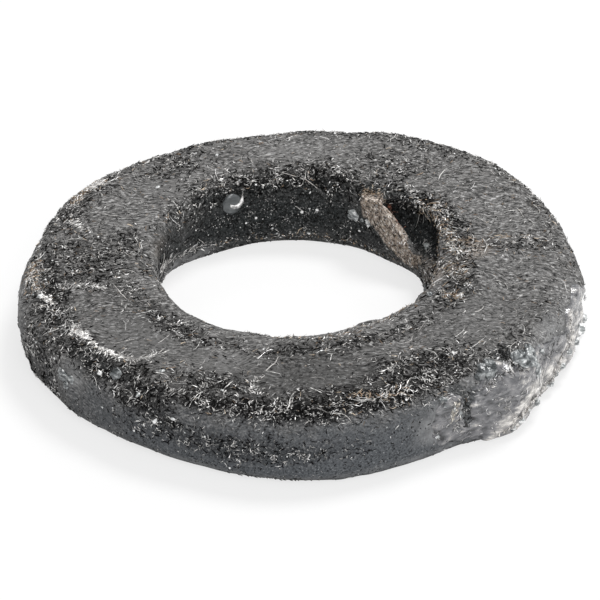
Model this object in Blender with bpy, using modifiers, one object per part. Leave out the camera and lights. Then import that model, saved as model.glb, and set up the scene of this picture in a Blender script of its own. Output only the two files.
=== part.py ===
"""Felt gasket for a wall urinal's outlet: one thick felt ring, soaked in grey wax grease and pressed flat.

The ring lies on its flat underside, centred on the origin, with +Z up. Azimuths are in degrees about +Z,
from +X towards +Y. Its felt has sagged out of round, and a tongue of it hangs torn from the bore's top rim.
"""

import math

import bmesh
import bpy
from mathutils import Vector, noise

MM = 0.001

# The ring as it was cut
OUTER_RADIUS = 54.0 * MM
BORE_RADIUS = 26.9 * MM
THICKNESS = 15.0 * MM

# The edges, rolled over by handling: how far in across the face, and how far down the wall
OUTER_TOP_ROLL = (7.5 * MM, 4.6 * MM)
OUTER_FOOT_ROLL = (3.0 * MM, 3.4 * MM)
BORE_TOP_ROLL = (5.0 * MM, 3.0 * MM)
BORE_FOOT_ROLL = (1.8 * MM, 2.0 * MM)

# How the felt has sagged: the bore has crept off centre, and each wall has bulges and flats over its full
# height, given by azimuth, spread in degrees, and how far out
BORE_CREEP = 2.6 * MM
BORE_CREEP_AZIMUTH = 115.0
OUTER_BULGES = (
    (51.0, 30.0, 2.8 * MM),
    (102.0, 24.0, -1.2 * MM),
    (145.0, 22.0, 0.7 * MM),
    (165.0, 14.0, -0.6 * MM),
    (189.0, 20.0, 0.9 * MM),
    (-127.0, 24.0, -1.1 * MM),
    (-88.0, 24.0, 1.6 * MM),
    (-59.0, 13.0, -1.0 * MM),
    (-46.0, 13.0, 1.7 * MM),
    (-30.0, 14.0, -1.0 * MM),
)
BORE_BULGES = (
    (-24.0, 26.0, 1.5 * MM),
    (15.0, 16.0, -1.0 * MM),
    (52.0, 24.0, -0.8 * MM),
    (112.0, 40.0, 0.9 * MM),
    (192.0, 30.0, -0.7 * MM),
)

# Lumps of wadding in the walls, and shallow hollows in the pressed top face
LUMP_HEIGHT = 0.55 * MM
LUMP_SPACING = 7.0 * MM
PILL_HEIGHT = 0.22 * MM
PILL_SPACING = 2.6 * MM
HOLLOW_DEPTH = 1.1 * MM
HOLLOW_SPACING = 17.0 * MM
HOLLOW_START = 0.06
HOLLOW_FULL = 0.46

# The crease that runs out across the top from the tear to the rim
CREASE_AZIMUTH = 8.0
CREASE_DEPTH = 0.9 * MM
CREASE_WIDTH = 3.0 * MM

# Beads of grease and tufts of wadding in the walls: azimuth, height, spread, and how far they push outwards
OUTER_SWELLS = (
    (-168.0, 9.0 * MM, 5.0 * MM, 0.8 * MM),
    (-128.0, 8.0 * MM, 8.0 * MM, 0.6 * MM),
    (-38.0, 6.0 * MM, 6.0 * MM, 1.2 * MM),
    (-3.0, 9.0 * MM, 4.5 * MM, 1.2 * MM),
)
BORE_SWELLS = (
    (-113.0, 12.5 * MM, 7.0 * MM, -1.6 * MM),
    (-59.0, 12.5 * MM, 5.5 * MM, -2.0 * MM),
    (144.0, 0.0, 13.0 * MM, 2.6 * MM),
)
SWELLS_DEEP = 0.25

# The tear: a hollow scooped out of the bore's wall just under the top face, widest near its far end
TEAR_FROM = -10.0
TEAR_TO = 57.0
TEAR_BITE = 5.4 * MM
TEAR_AXIS_INSIDE_BORE = 1.2 * MM
TEAR_AXIS_BELOW_TOP = 3.2 * MM
TEAR_SKEW = 1.6
TEAR_END_SHARE = 0.05
TEAR_ROUGHNESS = 0.5 * MM

# The tongue of torn felt that hangs across the tear, from the bore's top rim down to its tip
TONGUE_ROOT = 63.0
TONGUE_TIP = 31.0
TONGUE_THICKNESS = 1.5 * MM
TONGUE_PROUD = 0.5 * MM
TONGUE_FOOT_HEIGHT = 3.0 * MM
TONGUE_TIP_WIDTH = 3.4 * MM
TONGUE_BELOW_TOP = 0.6 * MM
TONGUE_FREE_RISE = 1.5
TONGUE_ROUGHNESS = 0.4 * MM

# Fineness of the mesh
TURN_STEPS = 120
ROLL_STEPS = 6
WALL_STEP = 1.7 * MM
TEAR_STEPS = 28
TEAR_ROUND_STEPS = 4
TONGUE_STEPS = 16
TONGUE_WIDTH_STEPS = 4
WELD = 0.02 * MM
SHARP_ANGLE = 50.0

FELT_COLOUR = (0.055, 0.054, 0.053, 1.0)
FELT_ROUGHNESS = 0.55


def clear_scene():
    for obj in list(bpy.data.objects):
        bpy.data.objects.remove(obj, do_unlink=True)


def new_collection(name):
    collection = bpy.data.collections.new(name)
    bpy.context.scene.collection.children.link(collection)
    return collection


def add_object(name, data, collection):
    obj = bpy.data.objects.new(name, data)
    collection.objects.link(obj)
    return obj


def waxed_felt():
    """Dark wool felt, black with graphite and shiny where the grease has filled it."""
    material = bpy.data.materials.new("waxed_felt")
    material.use_nodes = True
    shader = material.node_tree.nodes["Principled BSDF"]
    shader.inputs["Base Color"].default_value = FELT_COLOUR
    shader.inputs["Roughness"].default_value = FELT_ROUGHNESS
    shader.inputs["Metallic"].default_value = 0.0
    material.diffuse_color = FELT_COLOUR
    return material


def smooth(value, start=0.0, end=1.0):
    """A soft step from 0 to 1, as the value goes from start to end."""
    share = min(max((value - start) / (end - start), 0.0), 1.0)
    return share * share * (3.0 - 2.0 * share)


def polar(azimuth, radius, height):
    """The point at an azimuth in radians."""
    return Vector((radius * math.cos(azimuth), radius * math.sin(azimuth), height))


def turn_from(azimuth, centre):
    """The signed angle in radians from a centre in degrees to an azimuth in radians."""
    return math.remainder(azimuth - math.radians(centre), math.tau)


def bulge(bulges, azimuth):
    """How far a wall's bulges push it outwards at an azimuth in radians."""
    total = 0.0
    for centre, spread, out in bulges:
        away = abs(turn_from(azimuth, centre))
        total += out * (1.0 - smooth(away, 0.0, math.radians(spread)))
    return total


def outer_sag(azimuth):
    return bulge(OUTER_BULGES, azimuth)


def bore_sag(azimuth):
    creep = BORE_CREEP * math.cos(turn_from(azimuth, BORE_CREEP_AZIMUTH))
    return creep + bulge(BORE_BULGES, azimuth)


def swell(swells, azimuth, radius, height):
    """How far a wall's swells push it outwards at a point of it."""
    total = 0.0
    for centre, level, spread, out in swells:
        away = math.hypot(turn_from(azimuth, centre) * radius, height - level)
        total += out * (1.0 - smooth(away, 0.0, spread))
    return total


def roll(centre_r, centre_z, size, start, end):
    """Points along a quarter of an ellipse, which rounds one edge of the section."""
    wide, deep = size
    points = []
    for step in range(ROLL_STEPS + 1):
        angle = math.radians(start + (end - start) * step / ROLL_STEPS)
        points.append((centre_r + wide * math.cos(angle), centre_z + deep * math.sin(angle)))
    return points


def straight(start, end):
    """Points between two corners, ends left out, a wall step apart."""
    count = max(1, round(math.dist(start, end) / WALL_STEP))
    return [
        (start[0] + (end[0] - start[0]) * k / count, start[1] + (end[1] - start[1]) * k / count)
        for k in range(1, count)
    ]


def ring_section():
    """The closed section: down the outer wall, in under the foot, up the bore and out over the top."""
    outer_top = roll(
        OUTER_RADIUS - OUTER_TOP_ROLL[0], THICKNESS - OUTER_TOP_ROLL[1], OUTER_TOP_ROLL, 90.0, 0.0
    )
    outer_foot = roll(
        OUTER_RADIUS - OUTER_FOOT_ROLL[0], OUTER_FOOT_ROLL[1], OUTER_FOOT_ROLL, 0.0, -90.0
    )
    bore_foot = roll(
        BORE_RADIUS + BORE_FOOT_ROLL[0], BORE_FOOT_ROLL[1], BORE_FOOT_ROLL, 270.0, 180.0
    )
    bore_top = roll(
        BORE_RADIUS + BORE_TOP_ROLL[0], THICKNESS - BORE_TOP_ROLL[1], BORE_TOP_ROLL, 180.0, 90.0
    )
    section = outer_top + straight(outer_top[-1], outer_foot[0])
    section += outer_foot + bore_foot
    section += straight(bore_foot[-1], bore_top[0]) + bore_top
    section += straight(bore_top[-1], outer_top[0])
    return section


def evaluated_mesh(obj, name):
    """The object's mesh with its modifiers applied and its seams welded. The object itself is removed."""
    bpy.context.view_layer.update()
    graph = bpy.context.evaluated_depsgraph_get()
    mesh = bpy.data.meshes.new_from_object(obj.evaluated_get(graph))
    mesh.name = name
    body = bmesh.new()
    body.from_mesh(mesh)
    bmesh.ops.remove_doubles(body, verts=body.verts, dist=WELD)
    bmesh.ops.recalc_face_normals(body, faces=body.faces)
    if body.calc_volume(signed=True) < 0.0:
        bmesh.ops.reverse_faces(body, faces=body.faces)
    body.to_mesh(mesh)
    body.free()
    bpy.data.objects.remove(obj, do_unlink=True)
    return mesh


def turned_ring(guides):
    """The ring as a true turned solid, before the felt sags."""
    section = ring_section()
    profile = bpy.data.meshes.new("ring_section")
    edges = [(k, (k + 1) % len(section)) for k in range(len(section))]
    profile.from_pydata([(r, 0.0, z) for r, z in section], edges, [])
    obj = add_object("ring_section", profile, guides)
    turn = obj.modifiers.new("turn", "SCREW")
    turn.axis = "Z"
    turn.angle = math.tau
    turn.steps = TURN_STEPS
    turn.render_steps = TURN_STEPS
    turn.use_merge_vertices = True
    turn.merge_threshold = WELD
    return evaluated_mesh(obj, "felt_ring")


def crease(point):
    """Depth of the crease at a point of the top face."""
    radius = math.hypot(point.x, point.y)
    turn = turn_from(math.atan2(point.y, point.x), CREASE_AZIMUTH)
    return CREASE_DEPTH * math.exp(-((turn * radius / CREASE_WIDTH) ** 2))


def top_hollow(point):
    """Depth of the hollows in the pressed top face. Between them it stays flat, at the full thickness."""
    waves = noise.noise(Vector((point.x, point.y, 0.0)) / HOLLOW_SPACING)
    return HOLLOW_DEPTH * smooth(waves, HOLLOW_START, HOLLOW_FULL) + crease(point)


def wadding(point):
    """How far the lumps and pills of the felt stand out at a point of a wall."""
    lumps = LUMP_HEIGHT * noise.noise(point / LUMP_SPACING)
    pills = PILL_HEIGHT * noise.noise(point / PILL_SPACING)
    return lumps + pills


def sag_felt(mesh):
    """Moves the turned ring's points as the felt has sagged. The underside stays flat."""
    places = [vert.co.copy() for vert in mesh.vertices]
    normals = [vert.normal.copy() for vert in mesh.vertices]
    for vert, place, normal in zip(mesh.vertices, places, normals):
        azimuth = math.atan2(place.y, place.x)
        radius = math.hypot(place.x, place.y)
        outward = (radius - BORE_RADIUS) / (OUTER_RADIUS - BORE_RADIUS)
        near_bore = 1.0 - smooth(outward, 0.0, SWELLS_DEEP)
        near_outside = smooth(outward, 1.0 - SWELLS_DEEP)
        radius += bore_sag(azimuth) * (1.0 - outward) + outer_sag(azimuth) * outward
        radius += swell(BORE_SWELLS, azimuth, BORE_RADIUS, place.z) * near_bore
        radius += swell(OUTER_SWELLS, azimuth, OUTER_RADIUS, place.z) * near_outside
        height = place.z - top_hollow(place) * smooth(normal.z)
        on_wall = (1.0 - normal.z**2) * smooth(place.z, 0.0, OUTER_FOOT_ROLL[1])
        vert.co = polar(azimuth, radius, height) + normal * wadding(place) * on_wall


def roughen(mesh, height):
    """Ragged torn felt: moves each point along its normal by a fine noise."""
    places = [vert.co.copy() for vert in mesh.vertices]
    normals = [vert.normal.copy() for vert in mesh.vertices]
    for vert, place, normal in zip(mesh.vertices, places, normals):
        vert.co = place + normal * height * noise.noise(place / PILL_SPACING)


def hidden_tool(name, mesh, cutters):
    obj = add_object(name, mesh, cutters)
    obj.hide_render = True
    obj.display_type = "WIRE"
    return obj


def tear_cutter(cutters):
    """A bent, tapering sausage along the bore's wall, which leaves the torn hollow when it is cut away."""
    curve = bpy.data.curves.new("tear", "CURVE")
    curve.dimensions = "3D"
    curve.bevel_depth = TEAR_BITE
    curve.bevel_resolution = TEAR_ROUND_STEPS
    curve.use_fill_caps = True
    spline = curve.splines.new("POLY")
    spline.points.add(TEAR_STEPS)
    for k, point in enumerate(spline.points):
        along = k / TEAR_STEPS
        azimuth = math.radians(TEAR_FROM + (TEAR_TO - TEAR_FROM) * along)
        radius = BORE_RADIUS + bore_sag(azimuth) - TEAR_AXIS_INSIDE_BORE
        point.co = (*polar(azimuth, radius, THICKNESS - TEAR_AXIS_BELOW_TOP), 1.0)
        point.radius = math.sqrt(abs(math.sin(math.pi * along**TEAR_SKEW))) + TEAR_END_SHARE
    mesh = evaluated_mesh(add_object("tear", curve, cutters), "tear")
    roughen(mesh, TEAR_ROUGHNESS)
    return hidden_tool("tear", mesh, cutters)


def tongue_point(along, across):
    """A point of the tongue's sheet, from its tip to its root and from its low edge to its free one."""
    azimuth = math.radians(TONGUE_TIP + (TONGUE_ROOT - TONGUE_TIP) * along)
    root = THICKNESS - TONGUE_BELOW_TOP
    low_rise = root - TONGUE_TIP_WIDTH / 2.0 - TONGUE_FOOT_HEIGHT
    low = TONGUE_FOOT_HEIGHT + low_rise * along**3
    free_tip = TONGUE_FOOT_HEIGHT + TONGUE_TIP_WIDTH
    free = free_tip + (root - free_tip) * min(1.0, along * TONGUE_FREE_RISE)
    radius = BORE_RADIUS + bore_sag(azimuth) - TONGUE_PROUD
    return polar(azimuth, radius, low + (free - low) * across)


def torn_tongue(cutters):
    """The tongue as a thickened sheet that follows the bore's wall, rooted in the rim."""
    sheet = bmesh.new()
    bmesh.ops.create_grid(sheet, x_segments=TONGUE_STEPS, y_segments=TONGUE_WIDTH_STEPS, size=0.5)
    for vert in sheet.verts:
        vert.co = tongue_point(vert.co.x + 0.5, vert.co.y + 0.5)
    mesh = bpy.data.meshes.new("tongue")
    sheet.to_mesh(mesh)
    sheet.free()
    obj = add_object("tongue", mesh, cutters)
    thicken = obj.modifiers.new("thicken", "SOLIDIFY")
    thicken.thickness = TONGUE_THICKNESS
    thicken.offset = 0.0
    mesh = evaluated_mesh(obj, "tongue")
    roughen(mesh, TONGUE_ROUGHNESS)
    return hidden_tool("tongue", mesh, cutters)


def combine(obj, tool, operation):
    boolean = obj.modifiers.new(f"{operation.lower()}_{tool.name}", "BOOLEAN")
    boolean.operation = operation
    boolean.object = tool
    boolean.solver = "EXACT"


def centre_footprint(meshes):
    """Puts the middle of the first mesh's footprint on the origin, and the other meshes with it."""
    xs = [vert.co.x for vert in meshes[0].vertices]
    ys = [vert.co.y for vert in meshes[0].vertices]
    middle = Vector(((min(xs) + max(xs)) / 2.0, (min(ys) + max(ys)) / 2.0, 0.0))
    for mesh in meshes:
        for vert in mesh.vertices:
            vert.co -= middle


def main():
    clear_scene()
    parts = new_collection("urinal_gasket")
    tools = new_collection("cutters")

    mesh = turned_ring(tools)
    sag_felt(mesh)
    ring = add_object("felt_ring", mesh, parts)
    tear = tear_cutter(tools)
    tongue = torn_tongue(tools)
    centre_footprint([mesh, tear.data, tongue.data])

    combine(ring, tear, "DIFFERENCE")
    combine(ring, tongue, "UNION")
    mesh.materials.append(waxed_felt())
    mesh.shade_smooth()
    mesh.set_sharp_from_angle(angle=math.radians(SHARP_ANGLE))


main()
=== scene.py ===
"""Looks of a used felt urinal gasket: a dense felt body, its loose fibres, and the grease smeared on it.

Azimuths are in degrees about +Z, from +X towards +Y. Lengths are in metres, but in mm inside the
tables of zones and marks.
"""

import math

import bmesh
import bpy
import numpy as np
from mathutils import Matrix, Vector, noise
from mathutils.bvhtree import BVHTree


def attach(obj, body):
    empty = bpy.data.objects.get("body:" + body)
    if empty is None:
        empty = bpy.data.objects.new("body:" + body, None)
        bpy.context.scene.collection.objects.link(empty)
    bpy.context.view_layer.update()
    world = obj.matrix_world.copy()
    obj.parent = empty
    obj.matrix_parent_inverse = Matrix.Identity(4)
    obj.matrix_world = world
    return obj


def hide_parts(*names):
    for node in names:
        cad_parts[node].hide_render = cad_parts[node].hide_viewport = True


MM = 0.001

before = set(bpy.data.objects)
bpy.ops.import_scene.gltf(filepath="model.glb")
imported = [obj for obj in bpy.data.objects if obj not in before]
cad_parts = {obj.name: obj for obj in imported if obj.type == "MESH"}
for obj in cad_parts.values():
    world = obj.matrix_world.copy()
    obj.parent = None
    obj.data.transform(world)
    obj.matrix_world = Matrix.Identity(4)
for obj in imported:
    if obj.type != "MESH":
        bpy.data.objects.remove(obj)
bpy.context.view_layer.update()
rng = np.random.default_rng(41)

# The photograph's frame, and where the ring's middle shows in it
IMAGE_PIXELS = 600
AIM_PIXEL = (302.0, 291.0)
AIM_HEIGHT = 8.0 * MM
PIXELS_PER_MM = 5.1428
CAMERA_DISTANCE = 0.700
CAMERA_ELEVATION = math.radians(32.53)
CAMERA_ROLL = math.radians(-1.668)

# The body's mesh: grain of the first even mesh, and the triangles kept of it
BODY_GRAIN = 0.38 * MM
BODY_TRIANGLES = 190000

# Where the top face and the two walls part
WALL_RADIUS = 49.5 * MM
BORE_RADIUS = 33.0 * MM
TOP_HEIGHT = 11.2 * MM
OUTER_TOP_HEIGHT = 12.5 * MM

# Zones of each face: azimuth, place (radius on the top, height on a wall), spread in degrees, spread in mm
# and strength
ROUGH = {
    "top": [
        (-95, 52.5, 58, 6, 1), (-60, 45, 14, 6.5, 0.75), (-112, 45.5, 12, 4, 0.6), (96, 31, 39, 6, 1),
        (28, 32, 34, 3.2, 0.9), (6, 40, 5, 15, 0.45), (-172, 50, 22, 4.5, 0.8), (178, 41, 14, 9, 0.55),
        (152, 51, 16, 3.5, 0.6), (-140, 33, 24, 2.5, 0.6), (-75, 31, 40, 2.5, 0.5), (-20, 31.5, 16, 3.5, 0.7),
        (-136, 52, 18, 4, 1), (168, 35, 9, 4, 0.6), (62, 41, 10, 6, 0.4), (122, 45, 9, 5, 0.45),
    ],
    "wall": [
        (-95, 14.8, 60, 1.8, 1), (-160, 4, 14, 3, 0.4), (-158, 9.5, 9, 5, 0.4), (-137, 13.6, 18, 1.6, 0.9),
        (-126, 12, 8, 2.3, 0.8), (-119, 9.8, 5, 1.6, 0.8), (-104, 7.5, 24, 3, 0.5), (90, 8, 80, 8, 0.6),
    ],
    "bore": [(97, 13.8, 42, 2.2, 1), (10, 7, 20, 8, 0.4)],
}
# Black felt. The rows on the bore are black felt that is darkened further as painted shade of the hole
BLACK_AND_SHADE = {
    "bore": [(100, 7, 66, 8, 1), (152, 9, 16, 5.5, 0.85)],
    "top": [
        (100, 29, 34, 3.5, 0.5), (-42, 50.3, 3.5, 2.2, 1), (-138, 51, 14, 2.4, 0.8), (46, 30, 12, 2.2, 0.9),
    ],
    "wall": [(-56.7, 8.6, 2.2, 4.5, 1)],
}
PALE = {
    "wall": [
        (-22, 7, 18, 8.5, 0.4), (-62, 7.5, 6, 3.4, 0.7), (-48, 13.6, 6, 1.6, 0.6), (-145, 10.5, 4, 2.5, 0.6),
        (-173, 9, 9, 5, 0.4), (-92, 1.2, 50, 1.2, 0.35),
    ],
    "top": [(178, 52, 12, 2, 0.4)],
    "bore": [(142, 1.4, 16, 1.8, 0.8)],
}
TAN = {
    "bore": [(12, 6, 16, 5, 0.3), (-10, 11, 12, 3.5, 0.5), (160, 12, 8, 2, 0.15)],
    "top": [(6, 33.5, 7, 4, 0.6)],
}
# Painted shade: the felt's colour darkened where less light falls, on the top towards the front and left, in
# the crevice under the bore's lip, and along the foot of the front wall by the floor
PAINTED_SHADE = {
    "top": [(-140, 40, 28, 14, 0.46), (-88, 42, 28, 12, 1), (-36, 41, 30, 13, 0.42)],
    "wall": [(-95, 0.5, 60, 0.8, 0.8)],
    "bore": [(158, 4.5, 6, 3, 0.8)],
}
WALL_TINT = {"wall": [(-88, 5, 64, 9, 1)]}
# Forms that stand out of the smooth ring: as the zones are, with how far in mm in place of a strength
FORMS = {"bore": [(-26, 11.5, 5, 2.6, 0.9)], "wall": [(-55, 1, 30, 1, 0.5)]}
# Where pale curls and painted glints are few, and where the felt is smeared smooth
QUIET = {
    "bore": [(100, 12, 62, 4.5, 1)],
    "top": [
        (176, 40, 24, 12, 0.7), (152, 51, 18, 5, 0.5), (-100, 32, 75, 4.5, 0.7), (168, 35, 14, 6, 0.6),
        (-138, 51.5, 15, 4.5, 0.6),
    ],
    "wall": [(-137, 13, 18, 3, 0.6)],
}
CALM = {
    "top": [
        (-140, 40, 20, 7.5, 0.95), (-113, 37.5, 15, 7, 0.95), (-90, 40, 18, 6.5, 0.9),
        (-35, 38.5, 26, 9, 0.75), (-8, 43, 9, 8, 0.6), (93, 42, 18, 5, 0.8), (132, 40, 8, 7, 0.9),
        (30, 44, 14, 5, 0.5), (178, 47, 5, 3, 0.6),
    ],
}

# The torn tongue across the bore wall, as pixels around its edge in the frame, and the hollow behind it,
# which is painted black as shade
TONGUE = (
    (362, 193), (381, 193), (384, 201), (388, 205), (391, 211), (394, 216), (398, 223), (404, 229),
    (408, 233), (407, 240), (409, 250), (414, 255), (421, 256), (421, 262), (415, 267), (409, 266),
    (403, 261), (396, 255), (388, 247), (381, 238), (375, 228), (367, 219), (358, 208),
)
TEAR_AZIMUTHS = (-9, 58)
TEAR_RADII = (28.3 * MM, 33.5 * MM)
TEAR_HEIGHTS = (5.0 * MM, 14.2 * MM)


def image_axes():
    """The camera's right, up and back directions."""
    back = Vector((0.0, -math.cos(CAMERA_ELEVATION), math.sin(CAMERA_ELEVATION)))
    rise = Vector((0.0, math.sin(CAMERA_ELEVATION), math.cos(CAMERA_ELEVATION)))
    across = Vector((1.0, 0.0, 0.0))
    level, turn = math.cos(CAMERA_ROLL), math.sin(CAMERA_ROLL)
    return across * level + rise * turn, rise * level - across * turn, back


def on_aim_plane(pixel):
    """Where a pixel of the frame falls on the plane through the aim, square to the view."""
    right, up, _ = image_axes()
    aim = Vector((0.0, 0.0, AIM_HEIGHT))
    aim += right * (pixel[0] - AIM_PIXEL[0]) / PIXELS_PER_MM * MM
    return aim - up * (pixel[1] - AIM_PIXEL[1]) / PIXELS_PER_MM * MM


def camera_place():
    middle = IMAGE_PIXELS / 2.0
    return on_aim_plane((middle, middle)) + image_axes()[2] * CAMERA_DISTANCE


def pixels_of(points):
    """The pixels across and down the frame at which points show."""
    right, up, back = (np.array(axis) for axis in image_axes())
    away = points - np.array(camera_place())
    depth = -away @ back
    scale = PIXELS_PER_MM / MM * CAMERA_DISTANCE / depth
    middle = IMAGE_PIXELS / 2.0
    return middle + away @ right * scale, middle - away @ up * scale


def smooth_step(values, start, end):
    share = np.clip((values - start) / (end - start), 0.0, 1.0)
    return share * share * (3.0 - 2.0 * share)


def as_face_places(points):
    """Azimuth in degrees, radius and height of each point."""
    azimuth = np.degrees(np.arctan2(points[:, 1], points[:, 0]))
    return azimuth, np.hypot(points[:, 0], points[:, 1]), points[:, 2]


def noise_values(points, spacing, stretch=(1.0, 1.0, 1.0), offset=0.0):
    """Smooth noise from -1 to 1 at each point, with lumps a spacing apart."""
    scaled = points / (np.array(stretch) * spacing) + offset
    return np.array([noise.noise(Vector(place)) for place in scaled])


def zone_values(points, zones):
    """The strongest of the zones at each point, from 0 to 1, with a ragged edge."""
    azimuth, radius, height = as_face_places(points)
    ragged = 1.0 + 0.7 * noise_values(points, 4.0 * MM, offset=23.0)
    top = np.where(radius > WALL_RADIUS, OUTER_TOP_HEIGHT, TOP_HEIGHT)
    faces = {
        "top": (smooth_step(height - top, 0.0, 2.0 * MM), radius),
        "wall": (radius > WALL_RADIUS, height),
        "bore": (radius < BORE_RADIUS, height),
    }
    values = np.zeros(len(points))
    for face, rows in zones.items():
        here, across = faces[face]
        for centre, place, spread_turn, spread, strength in rows:
            turn = (azimuth - centre + 180.0) % 360.0 - 180.0
            away = ((turn / spread_turn) ** 2 + ((across - place * MM) / (spread * MM)) ** 2) * ragged
            values = np.maximum(values, here * strength * np.exp(-(away**2)))
    return values


def inside(outline, across, up):
    """Whether each place lies inside an outline, with places as two arrays."""
    found = np.zeros(len(across), dtype=bool)
    for (x0, y0), (x1, y1) in zip(outline, outline[1:] + outline[:1]):
        if y0 == y1:
            continue
        crosses = (up > min(y0, y1)) & (up <= max(y0, y1))
        found ^= crosses & (across < x0 + (up - y0) * (x1 - x0) / (y1 - y0))
    return found


def tongue_values(points):
    """1 on the torn tongue, which lies on the bore wall in front of the tear."""
    azimuth, radius, height = as_face_places(points)
    across, down = pixels_of(points)
    wobble = 1.5 * noise_values(points, 1.1 * MM, offset=43.0)
    near = (radius < TEAR_RADII[0] + 0.4 * MM) | (height > 13.0 * MM)
    facing = (azimuth > 20.0) & (azimuth < 80.0) & (radius < BORE_RADIUS)
    return (inside(TONGUE, across + wobble, down) & near & facing).astype(float)


def tear_shade_values(points):
    """1 in the hollow of the tear, fading to 0 over a little way inside its limits. The hollow is painted
    black with it, as painted shade.
    """
    azimuth, radius, height = as_face_places(points)
    (first, last), (near, far), (low, high) = TEAR_AZIMUTHS, TEAR_RADII, TEAR_HEIGHTS
    values = 1.0
    for measure, start, end in (
        (azimuth, first, first + 5.0), (-azimuth, -last, 3.0 - last),
        (radius, near - 0.8 * MM, near), (-radius, -far, 1.0 * MM - far),
        (height, low, low + 2.5 * MM), (-height, -high, 0.8 * MM - high),
    ):
        values = values * smooth_step(measure, start, end)
    return values


def all_zones(points):
    """Every zone's values at the points, by name."""
    tongue = tongue_values(points)
    tear = tear_shade_values(points) * (1.0 - tongue)
    rough, tint = zone_values(points, ROUGH), zone_values(points, WALL_TINT)
    calm = np.maximum(zone_values(points, CALM), 0.45) * (1.0 - rough)
    return {
        "rough": rough,
        "pale": zone_values(points, PALE),
        "tan": np.maximum(zone_values(points, TAN) * (1.0 - tear), tongue),
        # black: black felt, with the tear's hollow painted black as shade
        "black": np.maximum(zone_values(points, BLACK_AND_SHADE) * (1.0 - tongue), tear),
        "tint": tint,
        "calm": calm,
        "shade": zone_values(points, PAINTED_SHADE),
        "smooth": np.maximum(calm, tint) * (1.0 - rough),
        "tongue": tongue,
        "tear": tear,
    }


def new_object(name, mesh):
    obj = bpy.data.objects.new(name, mesh)
    bpy.context.scene.collection.objects.link(obj)
    return obj


def final_mesh(obj):
    """The object's mesh with its modifiers applied. The object is removed."""
    graph = bpy.context.evaluated_depsgraph_get()
    mesh = bpy.data.meshes.new_from_object(obj.evaluated_get(graph))
    bpy.data.objects.remove(obj, do_unlink=True)
    return mesh


def vectors_of(mesh, name):
    """The points' places ("co") or normals ("normal") as an array."""
    values = np.empty(len(mesh.vertices) * 3)
    mesh.vertices.foreach_get(name, values)
    return values.reshape(-1, 3)


def set_values(mesh, name, values):
    """Keeps one number a point in the mesh, for its material to read."""
    layer = mesh.attributes.new(name, "FLOAT", "POINT")
    layer.data.foreach_set("value", np.asarray(values, dtype=np.float32))


def even_mesh(source, grain):
    """A copy of the source's shape in an even mesh."""
    shape = bmesh.new()
    shape.from_mesh(source.data)
    bmesh.ops.remove_doubles(shape, verts=shape.verts, dist=0.001 * MM)
    mesh = bpy.data.meshes.new("even")
    shape.to_mesh(mesh)
    shape.free()
    obj = new_object("even", mesh)
    remesh = obj.modifiers.new("remesh", "REMESH")
    remesh.mode = "VOXEL"
    remesh.voxel_size = grain
    return final_mesh(obj)


def thinned(mesh, triangles):
    """The mesh brought down to a number of triangles, where it is flattest first."""
    obj = new_object("thinned", mesh)
    now = sum(len(face.vertices) - 2 for face in mesh.polygons)
    decimate = obj.modifiers.new("thin", "DECIMATE")
    decimate.ratio = min(1.0, triangles / now)
    return final_mesh(obj)


def felt_relief(points, normals, zones):
    """How far the felt's surface stands out of the smooth ring at each point."""
    rough, pale = zones["rough"], zones["pale"]
    upward = smooth_step(normals[:, 2], 0.2, 0.8)
    lumps = 0.22 * noise_values(points, 3.4 * MM)
    pills = noise_values(points, 1.3 * MM, offset=7.0)
    strands = noise_values(points, 0.9 * MM, (4.0, 1.0, 1.0), offset=3.0)
    pits = smooth_step(noise_values(points, 1.5 * MM, (1.5, 1.0, 1.0), offset=11.0), 0.10, 0.5)
    relief = lumps * (0.4 + 0.8 * rough) + pills * (0.10 + 0.26 * rough)
    relief += strands * 0.16 * upward * (1.0 - 0.5 * rough)
    relief -= pits * (0.16 + 0.55 * rough)
    relief = relief * (1.0 - 0.75 * zones["smooth"]) * (1.0 - 0.6 * pale)
    relief += 0.3 * noise_values(points, 9.0 * MM, offset=91.0)
    return (relief + zone_values(points, FORMS)) * MM


def felt_body():
    """The ring itself, as dense felt with lumps, combed strands and pits."""
    mesh = even_mesh(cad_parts["felt_ring"], BODY_GRAIN)
    points = vectors_of(mesh, "co")
    normals = vectors_of(mesh, "normal")
    off_floor = smooth_step(points[:, 2], 0.0, 0.8 * MM)
    relief = felt_relief(points, normals, all_zones(points)) * off_floor
    points = points + normals * relief[:, None]
    points[:, 2] = np.maximum(points[:, 2], 0.0)
    mesh.vertices.foreach_set("co", points.ravel())
    mesh.update()
    mesh = thinned(mesh, BODY_TRIANGLES)
    mesh.name = "felt_body"
    for name, values in all_zones(vectors_of(mesh, "co")).items():
        set_values(mesh, name, values)
    mesh.shade_smooth()
    obj = new_object("felt_body", mesh)
    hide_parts("felt_ring")
    return obj


# Points along a hair that is drawn through pixels
DRAWN_STEPS = 7


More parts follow.
